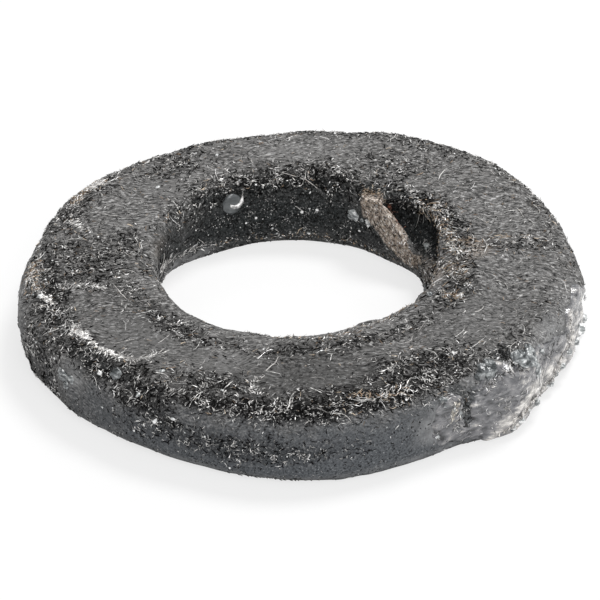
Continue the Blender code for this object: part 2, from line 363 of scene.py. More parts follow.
class Ground:
    """A surface that hairs grow on: random places on it, and the nearest place to a point."""

    def __init__(self, obj, places):
        mesh = obj.data
        mesh.calc_loop_triangles()
        corners = np.empty(len(mesh.loop_triangles) * 3, dtype=np.int32)
        mesh.loop_triangles.foreach_get("vertices", corners)
        corners = corners.reshape(-1, 3)
        points = vectors_of(mesh, "co")
        self.tree = BVHTree.FromPolygons(points.tolist(), corners.tolist())
        a, b, c = (points[corners[:, k]] for k in range(3))
        cross = np.cross(b - a, c - a)
        area = np.linalg.norm(cross, axis=1)
        chosen = rng.choice(len(area), places, p=area / area.sum())
        u = rng.random((places, 1))
        v = rng.random((places, 1))
        u, v = np.where(u + v > 1.0, 1.0 - u, u), np.where(u + v > 1.0, 1.0 - v, v)
        self.places = a[chosen] + u * (b - a)[chosen] + v * (c - a)[chosen]
        self.normals = cross[chosen] / area[chosen][:, None]

    def nearest(self, points):
        """The nearest place on the surface to each point, and its normal."""
        places, normals = zip(*(self.tree.find_nearest(point)[:2] for point in points.tolist()))
        return np.array(places), np.array(normals)

    def seen_at(self, pixel):
        """The place on the surface that shows at a pixel, or beside it where none shows, and its normal."""
        eye = camera_place()
        way = (on_aim_plane(pixel) - eye).normalized()
        place, normal, _, _ = self.tree.ray_cast(eye, way)
        if place is None:
            place = on_aim_plane(pixel)
            for _ in range(3):
                near, normal, _, _ = self.tree.find_nearest(place)
                place = eye + way * (near - eye).dot(way)
        return np.array(place), np.array(normal)

    def bunch(self, count, where, length, width, lift, colours, spread=0.5, curl=0.8, flow=None, steps=4):
        """Hairs of one kind, scattered with a chance at each place. Lengths, widths and lifts are in mm."""
        chance = where + 1e-9
        chosen = rng.choice(len(chance), count, p=chance / chance.sum())
        roots, normals = self.places[chosen], self.normals[chosen]
        paths = grow(self, roots, normals, steps, length, lift, spread, curl, flow)
        return paths, hair_radii(count, steps, width), hair_tones(count, colours)

    def drawn(self, pixels, width, colour, lift=0.15, waver=0.12):
        """One hair through pixels of the frame, laid on the surface."""
        places, normals = zip(*(self.seen_at(pixel) for pixel in pixels))
        turns = np.linspace(0.0, len(pixels) - 1.0, DRAWN_STEPS)
        normal = unit(on_line(np.array(normals), turns))
        rise = lift * np.sin(np.linspace(0.0, math.pi, DRAWN_STEPS)) ** 0.5
        sway = rng.normal(size=(DRAWN_STEPS, 3)) * waver * MM * 0.5
        path = on_line(np.array(places), turns) + normal * rise[:, None] * MM + sway
        return path[None], hair_radii(1, DRAWN_STEPS, (width, width)), np.array([colour])

    def smear(self, pixels, count, breadth, length, width, colours, lift=(0.05, 0.3), steps=4):
        """Many short hairs in a band along pixels of the frame. Breadth is the band's half width in mm."""
        found = np.array([self.seen_at(pixel)[0] for pixel in pixels])
        turns = rng.random(count) * (len(pixels) - 1.0)
        roots = on_line(found, turns)
        leg = np.minimum(turns.astype(int), len(pixels) - 2)
        heading = unit(found[leg + 1] - found[leg])
        roots, normals = self.nearest(roots + rng.normal(size=(count, 3)) * breadth * MM)
        paths = grow(self, roots, normals, steps, length, lift, 0.3, 0.3, lambda points: heading)
        return paths, hair_radii(count, steps, width), hair_tones(count, colours)


def on_line(points, turns):
    """Places along a line through points, where whole turns are the points themselves."""
    return np.stack([np.interp(turns, range(len(points)), points[:, k]) for k in range(3)], axis=1)


def unit(vectors):
    return vectors / np.maximum(np.linalg.norm(vectors, axis=-1, keepdims=True), 1e-12)


# Hairs: closed three-sided tubes, pointed at both ends

def tube_faces(steps):
    """The triangles of one hair of a number of steps, as its own point numbers."""
    faces = []
    last = 1 + 3 * (steps - 3)
    end = last + 3
    for k in range(3):
        turn = (k + 1) % 3
        faces += [(0, 1 + turn, 1 + k), (end, last + k, last + turn)]
        for low in range(1, last, 3):
            faces += [(low + k, low + turn, low + 3 + turn), (low + k, low + 3 + turn, low + 3 + k)]
    return np.array(faces)


def tube_points(paths, radii):
    """The points of hairs. paths is hairs by steps by 3, and radii is hairs by steps."""
    along = unit(np.gradient(paths, axis=1))
    side = unit(np.cross(along, rng.normal(size=(len(paths), 1, 3))))
    up = np.cross(along, side)
    rings = []
    for k in range(3):
        angle = math.tau * k / 3.0
        out = side * math.cos(angle) + up * math.sin(angle)
        rings.append(paths[:, 1:-1] + out[:, 1:-1] * radii[:, 1:-1, None])
    middle = np.stack(rings, axis=2).reshape(len(paths), -1, 3)
    return np.concatenate([paths[:, :1], middle, paths[:, -1:]], axis=1)


def hair_mesh(name, bunches):
    """One mesh of many hairs. Each bunch: paths, radii and tones, with hairs of equal steps."""
    points, corners, colours = [], [], []
    start = 0
    for paths, radii, tones in bunches:
        paths[..., 2] = np.maximum(paths[..., 2], radii + 0.02 * MM)
        found = tube_points(paths, radii)
        count, each, _ = found.shape
        numbers = tube_faces(paths.shape[1])[None] + np.arange(count)[:, None, None] * each
        points.append(found.reshape(-1, 3))
        corners.append(numbers.reshape(-1, 3) + start)
        colours.append(np.repeat(np.c_[tones, np.ones(count)], each, axis=0))
        start += count * each
    points, corners, colours = (np.concatenate(part) for part in (points, corners, colours))
    mesh = bpy.data.meshes.new(name)
    mesh.vertices.add(len(points))
    mesh.vertices.foreach_set("co", points.ravel())
    mesh.loops.add(corners.size)
    mesh.loops.foreach_set("vertex_index", corners.ravel().astype(np.int32))
    mesh.polygons.add(len(corners))
    mesh.polygons.foreach_set("loop_start", np.arange(len(corners), dtype=np.int32) * 3)
    mesh.update(calc_edges=True)
    mesh.validate()
    layer = mesh.attributes.new("tone", "FLOAT_COLOR", "POINT")
    layer.data.foreach_set("color", colours.ravel())
    mesh.shade_smooth()
    return mesh


def comb_direction(points):
    """The way the felt was smeared at each point: mostly along X, with slow swirls."""
    swirl = 0.9 * noise_values(points, 24.0 * MM, offset=31.0)
    return np.c_[np.cos(swirl), np.sin(swirl), np.zeros(len(points))]


def around_direction(points):
    """Around the ring, and a little down the wall."""
    away = unit(points * np.array([1.0, 1.0, 0.0]))
    return np.c_[away[:, 1], -away[:, 0], np.full(len(points), -0.25)]


def grow(ground, roots, normals, steps, length, lift, spread, curl, flow):
    """Paths that run over the ground from their roots, and rise to lift in mm at their tips."""
    count = len(roots)
    around = rng.normal(size=(count, 3))
    heading = unit(flow(roots) + spread * around) if flow else unit(around)
    heading = unit(heading - normals * np.sum(heading * normals, axis=1, keepdims=True))
    step = (rng.uniform(*length, count) * MM / (steps - 1))[:, None]
    bend = rng.normal(size=count) * curl
    rise = rng.uniform(*lift, count) * MM
    place, normal = roots, normals
    path = []
    for k in range(steps):
        share = k / (steps - 1)
        path.append(place + normal * (rise * share**1.3 - 0.03 * MM)[:, None])
        turned = np.cross(normal, heading)
        angle = (bend + rng.normal(size=count) * curl * 0.5)[:, None]
        heading = unit(heading * np.cos(angle) + turned * np.sin(angle))
        if k < steps - 1:
            place, normal = ground.nearest(place + heading * step)
    return np.stack(path, axis=1)


def hair_radii(count, steps, width):
    profile = np.sin(np.linspace(0.1, 0.9, steps) * math.pi) ** 0.4
    return rng.uniform(*width, (count, 1)) * profile * MM / 2.0


def hair_tones(count, colours, spread=0.35):
    """A colour for each hair, from a few that the felt has, lighter or darker at random."""
    chosen = np.array(colours)[rng.integers(len(colours), size=count)]
    return chosen * np.exp(rng.normal(size=(count, 1)) * spread)


def tongue_direction(points):
    """Down the torn tongue, from its root at the rim to its tip."""
    azimuth = np.arctan2(points[:, 1], points[:, 0])
    return np.c_[0.76 * np.sin(azimuth), -0.76 * np.cos(azimuth), np.full(len(points), -0.65)]


# Materials

def fill(tree, node, inputs):
    """Sets a node's inputs to values, or links them."""
    for key, value in inputs.items():
        if isinstance(value, bpy.types.NodeSocket):
            tree.links.new(value, node.inputs[key])
        else:
            node.inputs[key].default_value = value


def add_node(tree, kind, inputs=None, **settings):
    node = tree.nodes.new("ShaderNode" + kind)
    for key, value in settings.items():
        setattr(node, key, value)
    fill(tree, node, inputs or {})
    return node


def calculated(tree, operation, *inputs, kind="Math"):
    return add_node(tree, kind, dict(enumerate(inputs)), operation=operation).outputs[0]


def grey(value, warmth=0.0):
    return (value * (1.0 + warmth), value, value * (1.0 - warmth), 1.0)


def ramp(tree, source, stops):
    """A colour ramp over a value. Each stop: position, then a grey, a grey and its warmth, or a colour."""
    node = add_node(tree, "ValToRGB", {"Fac": source})
    elements = node.color_ramp.elements
    while len(elements) < len(stops):
        elements.new(0.5)
    for element, (position, *tone) in zip(elements, stops):
        element.position = position
        element.color = (*tone, 1.0) if len(tone) == 3 else grey(*tone)
    return node.outputs["Color"]


def mix_colour(tree, share, first, second, blend="MIX"):
    inputs = {0: share, 6: first, 7: second}
    return add_node(tree, "Mix", inputs, data_type="RGBA", blend_type=blend).outputs[2]


def placed_noise(tree, place, scale, inputs):
    """A noise texture that has scale lumps a mm along each axis."""
    scaled = add_node(tree, "Mapping", {"Vector": place, "Scale": tuple(part / MM for part in scale)})
    return add_node(tree, "TexNoise", {"Vector": scaled.outputs[0], "Scale": 1.0, **inputs})


def texture(tree, place, scale, detail=3.0, rough=0.55, stretch=(1.0, 1.0, 1.0)):
    """Noise with scale lumps a mm, drawn out by stretch."""
    inputs = {"Detail": detail, "Roughness": rough}
    return placed_noise(tree, place, [scale / part for part in stretch], inputs).outputs["Fac"]


def warped(tree, place, scale, reach):
    """The place moved by slow noise, so that what is drawn on it wanders."""
    drift = placed_noise(tree, place, [scale] * 3, {"Detail": 1.0}).outputs["Color"]
    centred = calculated(tree, "SUBTRACT", drift, (0.5, 0.5, 0.5), kind="VectorMath")
    scaled = add_node(tree, "VectorMath", {0: centred, "Scale": reach}, operation="SCALE").outputs[0]
    return calculated(tree, "ADD", place, scaled, kind="VectorMath")


def read_value(tree, name):
    return add_node(tree, "Attribute", attribute_name=name).outputs["Fac"]


def new_material(name, roughness, specular=0.5):
    material = bpy.data.materials.new(name)
    material.use_nodes = True
    tree = material.node_tree
    shader = tree.nodes["Principled BSDF"]
    fill(tree, shader, {"Roughness": roughness, "Specular IOR Level": specular})
    return material, tree, shader, add_node(tree, "TexCoord").outputs["Object"]


def bump(tree, height, depth):
    return add_node(tree, "Bump", {"Height": height, "Distance": depth, "Strength": 1.0}).outputs["Normal"]


# Colours of the felt over its noise, by zone, as ramp's stops
FLAT_STOPS = [(0.38, 0.006), (0.46, 0.065, 0.02), (0.52, 0.16, 0.025), (0.59, 0.28, 0.025), (0.67, 0.6)]
CALM_STOPS = [
    (0.36, 0.012), (0.405, 0.08), (0.445, 0.126, 0.02), (0.57, 0.152, 0.02), (0.63, 0.24), (0.70, 0.4),
]
WALL_STOPS = [
    (0.36, 0.008), (0.41, 0.05, 0.054, 0.06), (0.46, 0.082, 0.088, 0.096), (0.60, 0.1, 0.106, 0.113),
    (0.66, 0.18, 0.19, 0.2), (0.74, 0.5),
]
HOLLOW_STOPS = [(0.48, 0.001), (0.56, 0.014, 0.02), (0.60, 0.16, 0.03), (0.65, 0.85, 0.02)]
# The black ramp: black felt, and painted shade in the bore and in the tear's hollow
BLACK_AND_SHADE_STOPS = [
    (0.38, 0.004), (0.45, 0.024, 0.027, 0.028), (0.57, 0.034, 0.038, 0.038), (0.63, 0.09), (0.71, 0.4),
]
PALE_STOPS = [(0.32, 0.12), (0.48, 0.26, -0.01), (0.66, 0.42)]
TORN_STOPS = [
    (0.38, 0.02, 0.016, 0.013), (0.46, 0.22, 0.18, 0.15), (0.57, 0.46, 0.39, 0.33), (0.65, 0.9, 0.86, 0.8),
]


def felt_material():
    """Wool felt full of graphite grey grease: smeared satin flats, and rough black hollows between."""
    material, tree, shader, place = new_material("waxed_felt_with_painted_shade", 0.5, 0.1)
    flow = warped(tree, place, 0.07, 9.0 * MM)
    streaks = texture(tree, flow, 2.2, 3.0, 0.72, (2.6, 1.0, 1.0))
    grit = texture(tree, place, 2.6, 3.0, 0.7)
    colour = ramp(tree, streaks, FLAT_STOPS)
    for zone, source, stops in (
        ("calm", streaks, CALM_STOPS),
        ("tint", grit, WALL_STOPS),
        ("rough", texture(tree, place, 1.8, 4.0, 0.8), HOLLOW_STOPS),
        # Black felt, and painted shade in the bore and in the tear's hollow
        ("black", grit, BLACK_AND_SHADE_STOPS),
        ("pale", texture(tree, place, 0.22, 3.0, 0.6), PALE_STOPS),
        ("tan", texture(tree, place, 1.5, 4.0, 0.75), TORN_STOPS),
    ):
        colour = mix_colour(tree, read_value(tree, zone), colour, ramp(tree, source, stops))
    # Painted shade: the colour darkened, at most to half, by the shade zones
    painted_shade_colour = mix_colour(tree, 1.0, colour, grey(0.5), "MULTIPLY")
    shine = ramp(tree, texture(tree, place, 0.12, 2.0), [(0.35, 0.38), (0.65, 0.6)])
    even = calculated(tree, "MULTIPLY", read_value(tree, "smooth"), 0.93)
    height = mix_colour(tree, even, mix_colour(tree, 0.5, streaks, grit), grey(0.5))
    fill(tree, shader, {
        "Base Color": mix_colour(tree, read_value(tree, "shade"), colour, painted_shade_colour),
        "Roughness": shine,
        "Normal": bump(tree, height, 0.6 * MM),
    })
    return material


def hair_material(name, roughness, specular):
    material, tree, shader, place = new_material(name, roughness, specular)
    tone = add_node(tree, "Attribute", attribute_name="tone").outputs["Color"]
    fleck = ramp(tree, texture(tree, place, 1.6), [(0.35, 0.45), (0.65, 1.4)])
    fill(tree, shader, {"Base Color": mix_colour(tree, 1.0, tone, fleck, "MULTIPLY")})
    return material


def grease_material(name, stops, shift, grain, roughness, detail=3.0):
    """Soft grease that is dark where it is thin and pale where it is thick, with streaks around the wall."""
    material, tree, shader, place = new_material(name, roughness, 0.6)
    flow = warped(tree, place, 0.15, 3.0 * MM)
    streaks = texture(tree, flow, grain, detail, 0.65, (2.6, 2.6, 1.0))
    limits = {"From Min": 0.0, "From Max": 1.0, "To Min": -shift, "To Max": shift}
    depth = add_node(tree, "MapRange", {"Value": read_value(tree, "thick"), **limits}).outputs[0]
    centred = calculated(tree, "SUBTRACT", streaks, 0.5)
    spread = calculated(tree, "MULTIPLY_ADD", centred, read_value(tree, "grain"), 0.5)
    fill(tree, shader, {
        "Base Color": ramp(tree, calculated(tree, "ADD", spread, depth), stops),
        "Subsurface Weight": 0.25,
        "Subsurface Scale": 0.8 * MM,
        "Subsurface Radius": (1.0, 1.0, 1.0),
        "Normal": bump(tree, streaks, 0.16 * MM),
    })
    return material


def photo_camera():
    """The camera at the photograph's angle."""
    data = bpy.data.cameras.new("camera")
    data.sensor_width = 36.0
    data.lens = PIXELS_PER_MM / MM * data.sensor_width * CAMERA_DISTANCE / IMAGE_PIXELS
    data.clip_start = 0.01
    camera = new_object("camera", data)
    axes = Matrix(image_axes()).transposed()
    camera.matrix_world = Matrix.Translation(camera_place()) @ axes.to_4x4()
    bpy.context.scene.camera = camera


# The grease coat of the outer wall, cast onto the felt around a core inside the ring
COAT_AZIMUTHS = (-72.0, 3.0)
COAT_TURNS = (-24.0, 62.0)
COAT_CORE = (42.0 * MM, 6.0 * MM)
COAT_STEP = 0.23 * MM
COAT_BACK = 0.9 * MM
# The radii that its steps are counted at, and how far out the rays towards the core start
COAT_RADIUS = 54.0 * MM
COAT_ROLL = 12.0 * MM
COAT_REACH = 30.0 * MM
# Pixels of the frame around the coat, its pale ragged fringe and its clear smooth band
COAT_OUTLINE = (
    (574, 286), (590, 286), (592, 345), (575, 368), (552, 396), (535, 416), (510, 442), (492, 446),
    (476, 438), (458, 441), (440, 447), (431, 440), (434, 418), (438, 401), (450, 393), (463, 396),
    (463, 408), (464, 424), (469, 425), (471, 406), (476, 388), (483, 378), (479, 367), (489, 360),
    (503, 366), (512, 352), (522, 349), (540, 344), (556, 337), (566, 328), (566, 312),
)
COAT_FRINGE = (
    (566, 310), (592, 300), (592, 345), (575, 368), (552, 396), (535, 416), (505, 445), (480, 452),
    (484, 436), (503, 416), (522, 396), (540, 374), (552, 354), (566, 340),
)
COAT_TEETH = ((563, 352), (550, 382), (534, 398), (520, 418), (500, 434))
COAT_TONES = [(0.5, 0.48, 0.46), (0.36, 0.35, 0.35), (0.62, 0.6, 0.57)]
COAT_BAND = ((476, 432), (478, 402), (488, 382), (502, 376), (524, 374), (528, 384), (512, 404), (500, 420))
COAT_COLOUR_GRAIN = 0.8
COAT_STOPS = [
    (0.26, 0.01), (0.36, 0.06, 0.061, 0.064), (0.44, 0.125, 0.126, 0.133), (0.55, 0.215, 0.213, 0.22),
    (0.64, 0.4, 0.385, 0.37), (0.74, 0.8, 0.775, 0.74),
]
# The clear grease's ramp runs up to white, which also paints the glints on the beads and flecks
BLOB_STOPS = [
    (0.28, 0.03, 0.035, 0.036), (0.44, 0.14, 0.15, 0.155), (0.57, 0.42, 0.44, 0.44), (0.66, 0.92, 0.92, 0.92),
]


def slab_faces(rows, columns):
    """Faces of a closed slab: a front and a back grid of points, and the rim between them."""
    numbers = np.arange(rows * columns).reshape(rows, columns)
    faces = []
    behind = rows * columns
    for i in range(rows - 1):
        for j in range(columns - 1):
            ring = (numbers[i, j], numbers[i, j + 1], numbers[i + 1, j + 1], numbers[i + 1, j])
            faces += [ring, tuple(behind + k for k in reversed(ring))]
    rim = list(numbers[0, :]) + list(numbers[1:, -1]) + list(numbers[-1, -2::-1]) + list(numbers[-2:0:-1, 0])
    for a, b in zip(rim, rim[1:] + rim[:1]):
        faces.append((b, a, behind + a, behind + b))
    return [tuple(int(k) for k in face) for face in faces]


def outlined(outline, points, grid, soft):
    """1 where points of a grid show inside an outline of pixels, softened over a number of rows."""
    across, down = pixels_of(points)
    across = across + 3.0 * noise_values(points, 1.8 * MM, offset=45.0)
    down = down + 3.0 * noise_values(points, 1.8 * MM, offset=47.0)
    values = inside(outline, across, down).astype(float).reshape(grid)
    for _ in range(soft):
        padded = np.pad(values, 1, mode="edge")
        values = (padded[:-2, 1:-1] + padded[2:, 1:-1] + padded[1:-1, :-2] + padded[1:-1, 2:]) / 4.0
    return values.ravel()


def grease_coat():
    """Ragged translucent grease over the outer wall on the right, thick in runs and thin between."""
    columns = int(math.radians(COAT_AZIMUTHS[1] - COAT_AZIMUTHS[0]) * COAT_RADIUS / COAT_STEP)
    rows = int(math.radians(COAT_TURNS[1] - COAT_TURNS[0]) * COAT_ROLL / COAT_STEP)
    azimuths, turns = np.meshgrid(np.linspace(*COAT_AZIMUTHS, columns), np.linspace(*COAT_TURNS, rows))
    azimuths, turns = np.radians(azimuths.ravel()), np.radians(turns.ravel())
    level = np.c_[np.cos(azimuths), np.sin(azimuths), np.zeros(len(azimuths))]
    core = level * COAT_CORE[0] + np.array([0.0, 0.0, COAT_CORE[1]])
    out = level * np.cos(turns)[:, None] + np.c_[np.zeros((len(level), 2)), np.sin(turns)]
    starts = (core + out * COAT_REACH).tolist()
    wall = np.array([felt.tree.ray_cast(start, -Vector(way))[0] for start, way in zip(starts, out)])
    along = np.c_[azimuths * WALL_RADIUS, wall[:, 2], np.zeros(len(wall))]
    grid = (rows, columns)
    cover = outlined(COAT_OUTLINE, wall, grid, 6)
    fringe = outlined(COAT_FRINGE, wall, grid, 6)
    band = outlined(COAT_BAND, wall, grid, 10)
    low = 1.0 - 0.3 * smooth_step(wall[:, 0], 46.0 * MM, 53.0 * MM)
    runs = noise_values(along, 5.0 * MM, (2.0, 1.0, 1.0), offset=51.0)
    ridges = noise_values(along, 1.1 * MM, (2.5, 1.0, 1.0), offset=57.0)
    flakes = noise_values(along, 2.2 * MM, offset=61.0)
    thick = -0.6 + 1.0 * cover + 0.35 * fringe + 0.3 * runs
    thick = np.clip(thick + (1.0 - 0.8 * band) * (0.3 * ridges + 0.45 * flakes), -0.6, 1.4)
    front = wall + out * thick[:, None] * MM
    front[:, 2] = np.maximum(front[:, 2], 0.1 * MM)
    behind = wall - out * COAT_BACK
    mesh = bpy.data.meshes.new("grease_coat")
    mesh.from_pydata(np.concatenate([front, behind]).tolist(), [], slab_faces(rows, columns))
    shown = 0.2 + 0.6 * fringe * low + 0.3 * runs + 0.5 * (cover - 0.5)
    shown = np.clip(shown + (1.0 - band) * (0.5 * ridges + 0.55 * flakes), 0.0, 1.2)
    set_values(mesh, "thick", np.tile(shown, 2))
    set_values(mesh, "grain", np.full(len(mesh.vertices), COAT_COLOUR_GRAIN))
    mesh.materials.append(grease_material("grease_pale", COAT_STOPS, 0.15, 1.2, 0.1, 5.0))
    mesh.shade_smooth()
    obj = new_object("grease_coat", mesh)
    return obj


# Blobs and flakes of grease: pixel in the frame, radius in mm, how flat, how pale from 0 to 1.2
BLOBS = [
    ((353, 215), 1.2, 0.5, 0.5), ((368, 223), 0.7, 0.5, 0.9),
    ((362, 220), 0.5, 0.5, 0.5), ((489, 370), 1.9, 0.5, 0.2),
    ((483, 366), 0.9, 0.5, 0.35), ((520, 358), 1.9, 0.6, 0.3), ((515, 362), 0.8, 0.5, 0.65),
    ((528, 352), 1.1, 0.5, 0.35), ((534, 364), 1.3, 0.5, 0.35), ((540, 350), 1.0, 0.5, 0.4),
    ((64, 377), 1.5, 0.3, 0.25), ((60, 370), 0.6, 0.4, 0.6), ((62, 373), 1.0, 0.4, 0.5),
    ((70, 379), 0.9, 0.4, 0.45), ((66, 385), 0.8, 0.4, 0.35), ((116, 374), 1.1, 0.4, 0.25),
    ((138, 395), 0.5, 0.5, 0.8), ((156, 421), 0.6, 0.5, 1.0), ((173, 419), 0.45, 0.5, 1.0),
    ((100, 373), 0.45, 0.5, 0.9), ((162, 371), 0.5, 0.5, 0.7), ((453, 250), 0.9, 0.35, 0.7),
    # (453, 413) is a flat pale blob painted as the highlight of the warm grease patch
    ((453, 413), 0.9, 0.2, 0.7), ((444, 402), 1.0, 0.4, 0.35), ((158, 187), 0.5, 0.4, 0.7),
    ((217, 155), 0.4, 0.4, 0.7), ((40, 296), 0.6, 0.3, 0.7), ((459, 296), 0.6, 0.4, 1.0),
    ((438, 436), 0.6, 0.3, 0.45), ((446, 428), 0.6, 0.3, 0.45), ((426, 290), 0.8, 0.6, 0.35),
    ((430, 294), 0.6, 0.6, 0.3), ((586, 296), 0.55, 0.7, 0.9), ((585, 299), 0.35, 0.7, 0.9),
    ((427, 246), 0.7, 0.4, 0.6), ((499, 419), 0.7, 0.4, 0.7), ((578, 333), 1.2, 0.6, 0.75),
    # A painted highlight of the warm grease patch, as flat pale blobs
    ((457, 416), 1.3, 0.2, 0.5), ((455, 405), 0.8, 0.2, 0.45),
]
# The same on the coat: its glassy lumps, and the teeth of its ragged edge
LUMPS = [
    ((524, 361), 2.0, 0.35, 0.3), ((487, 372), 1.7, 0.35, 0.2), ((538, 371), 1.2, 0.35, 0.5),
    ((512, 352), 0.8, 0.5, 0.1), ((532, 352), 1.1, 0.4, 0.4),
]
TEETH = [
    ((584, 318), 0.9, 0.7, 0.6), ((580, 330), 1.0, 0.8, 0.65), ((576, 342), 0.8, 0.8, 0.7),
    ((569, 352), 0.7, 0.9, 0.6), ((562, 366), 0.7, 1.0, 0.7), ((556, 374), 0.5, 1.0, 0.6),
    ((550, 384), 0.8, 0.9, 0.7), ((542, 394), 0.5, 1.1, 0.6), ((536, 402), 0.7, 1.0, 0.7),
    ((528, 410), 0.5, 1.1, 0.6), ((521, 420), 0.8, 1.0, 0.8), ((513, 428), 0.5, 1.1, 0.7),
    ((505, 437), 0.7, 1.0, 0.7), ((496, 441), 0.5, 1.0, 0.6),
]
# The clear bead on the bore's wall, with its glints painted on it as pale beads, and small bright beads
# painted as glints on the bore's wall
BEAD_AND_GLINTS = [
    ((232, 204), 2.3, 0.36, 0.2), ((230, 198), 0.4, 0.8, 1.2), ((226, 200), 0.3, 0.8, 0.9),
    ((234, 196), 0.4, 0.8, 1.0), ((302, 212), 0.4, 0.5, 1.2), ((317, 210), 0.35, 0.6, 1.2),
    ((256, 218), 0.3, 0.6, 1.2), ((246, 223), 0.25, 0.6, 1.1), ((328, 192), 0.3, 0.6, 1.2),
]
# How ragged each kind is
BLOB_RAGGED = 0.6
DOME_RAGGED = 0.1
LUMP_RAGGED = 0.75
# How many pale flecks are scattered: partly grease, partly painted glints of the wet felt
FLECKS_AND_GLINTS = 260


def blob_mesh(name, grounds):
    """Ragged lumps, each pressed onto the ground at its place. One mesh of them all."""
    points, corners, thick, grain = [], [], [], []
    for place, normal, radius, flat, pale, ragged in grounds:
        ball = bmesh.new()
        bmesh.ops.create_icosphere(ball, subdivisions=3 if radius > 0.5 else 2, radius=1.0)
        balls = np.array([tuple(vert.co) for vert in ball.verts])
        faces = [[vert.index for vert in face.verts] for face in ball.faces]
        ball.free()
        across = unit(np.cross(normal, rng.normal(size=3)))
        along = np.cross(normal, across)
        bumps = noise_values(balls * radius * MM + place, max(0.6 * radius, 0.15) * MM, offset=81.0)
        shaped = balls * (1.0 + ragged * bumps[:, None]) * radius * MM
        spread = 1.0 + ragged * rng.uniform(-0.5, 0.5)
        start = sum(len(part) for part in points)
        points.append(
            place + shaped[:, :1] * across * spread + shaped[:, 1:2] * along / spread
            + shaped[:, 2:] * normal * flat
        )
        corners += [[start + k for k in face] for face in faces]
        thick.append(np.clip(pale + 0.5 * ragged * bumps, 0.0, 1.2))
        grain.append(np.full(len(balls), min(1.0, ragged / BLOB_RAGGED)))
    mesh = bpy.data.meshes.new(name)
    points = np.concatenate(points)
    points[:, 2] = np.maximum(points[:, 2], 0.05 * MM)
    mesh.from_pydata(points.tolist(), [], corners)
    set_values(mesh, "thick", np.concatenate(thick))
    set_values(mesh, "grain", np.concatenate(grain))
    mesh.shade_smooth()
    return mesh


def grease_blobs_and_glints():
    """Grease at its pixels, and flecks of it scattered over the shaggy felt. Some of its pale beads and
    flecks are painted glints and highlights.
    """
    found = []
    kinds = (
        (felt, BLOB_RAGGED, BLOBS), (felt, DOME_RAGGED, BEAD_AND_GLINTS), (greased, BLOB_RAGGED, TEETH),
        (greased, LUMP_RAGGED, LUMPS),
    )
    for ground, ragged, rows in kinds:
        for pixel, radius, flat, pale in rows:
            place, normal = ground.seen_at(pixel)
            found.append((place, normal, radius, flat, pale, ragged))
    # Scattered pale flecks, partly painted glints, where the felt is shaggy, on the open walls and on the
    # black felt
    chance = shaggy * clumps + 0.3 * open_side * clumps + 0.3 * black * side + 1e-9
    for k in rng.choice(len(chance), FLECKS_AND_GLINTS, p=chance / chance.sum()):
        normal = felt.normals[k]
        radius, pale = rng.uniform(0.1, 0.26), rng.uniform(0.6, 1.2)
        found.append((felt.places[k] + normal * 0.1 * MM, normal, radius, 0.5, pale, BLOB_RAGGED))
    obj = new_object("grease_blobs_and_glints", blob_mesh("grease_blobs_and_glints", found))
    obj.data.materials.append(grease_material("grease_clear", BLOB_STOPS, 0.2, 1.6, 0.22))
    return obj


body = felt_body()
body.data.materials.clear()
body.data.materials.append(felt_material())

FELT_PLACES = 200000
COAT_PLACES = 40000

felt = Ground(body, FELT_PLACES)
zones = all_zones(felt.places)
# black holds black felt, and painted shade in the bore and in the tear's hollow
rough, black, pale, tan = (zones[name] for name in ("rough", "black", "pale", "tan"))
tear, tongue, calm = (zones[name] for name in ("tear", "tongue", "calm"))
clumps = smooth_step(noise_values(felt.places, 2.2 * MM, offset=71.0), -0.15, 0.35) * (1.0 - 0.6 * tear)
up = smooth_step(felt.normals[:, 2], 0.3, 0.8)
down = smooth_step(-felt.normals[:, 2], 0.6, 0.9)
side = (1.0 - up) * (1.0 - down)
open_side = side * (1.0 - black) * (1.0 - pale)
flat = up * (1.0 - 0.8 * rough) * (1.0 - tan) * (1.0 - 0.9 * calm)
shaggy = rough * (up + side) * (1.0 - pale) * (1.0 - tongue)
# Where pale curls grow, partly as painted glints of the wet felt; fewer in the quiet zones
curls_and_glints = shaggy * (1.0 - 0.65 * zone_values(felt.places, QUIET))
coat = grease_coat()
greased = Ground(coat, COAT_PLACES)
greased_rise = np.hypot(greased.places[:, 0], greased.places[:, 1]) > WALL_RADIUS
blobs = grease_blobs_and_glints()

BLACKS = [(0.004, 0.004, 0.004), (0.015, 0.014, 0.013)]
DARKS = [(0.02, 0.02, 0.02), (0.035, 0.035, 0.035), (0.06, 0.057, 0.053)]
MIDS = [(0.10, 0.10, 0.097), (0.14, 0.14, 0.137)]
LIGHTS = [(0.24, 0.238, 0.232), (0.32, 0.315, 0.31), (0.42, 0.41, 0.40)]
# Pale fibres; these colours also paint the glints and highlights
PALES = [(0.75, 0.74, 0.72), (0.6, 0.58, 0.56), (0.85, 0.84, 0.83)]
TANS = [(0.34, 0.25, 0.17), (0.52, 0.43, 0.33), (0.24, 0.16, 0.10)]
REDS = [(0.32, 0.12, 0.07), (0.2, 0.08, 0.05)]
WARM = [(0.55, 0.51, 0.45), (0.4, 0.375, 0.33), (0.7, 0.67, 0.61)]

dark_look = hair_material("dark_fibres", 0.55, 0.05)
light_look = hair_material("light_fibres_and_glints", 0.3, 0.5)


def hair_piece(name, look, bunches):
    mesh = hair_mesh(name, bunches)
    mesh.materials.append(look)
    obj = new_object(name, mesh)
    return obj


# Ranges of widths and of lifts in mm
FINE, MIXED, PLAIN = (0.1, 0.18), (0.1, 0.2), (0.12, 0.2)
FULL, BROAD, THICK = (0.12, 0.22), (0.12, 0.24), (0.14, 0.28)
FLAT, LOW, LOOSE = (0.0, 0.1), (0.0, 0.2), (0.0, 0.3)
RAISED, HIGH = (0.1, 0.5), (0.1, 0.6)

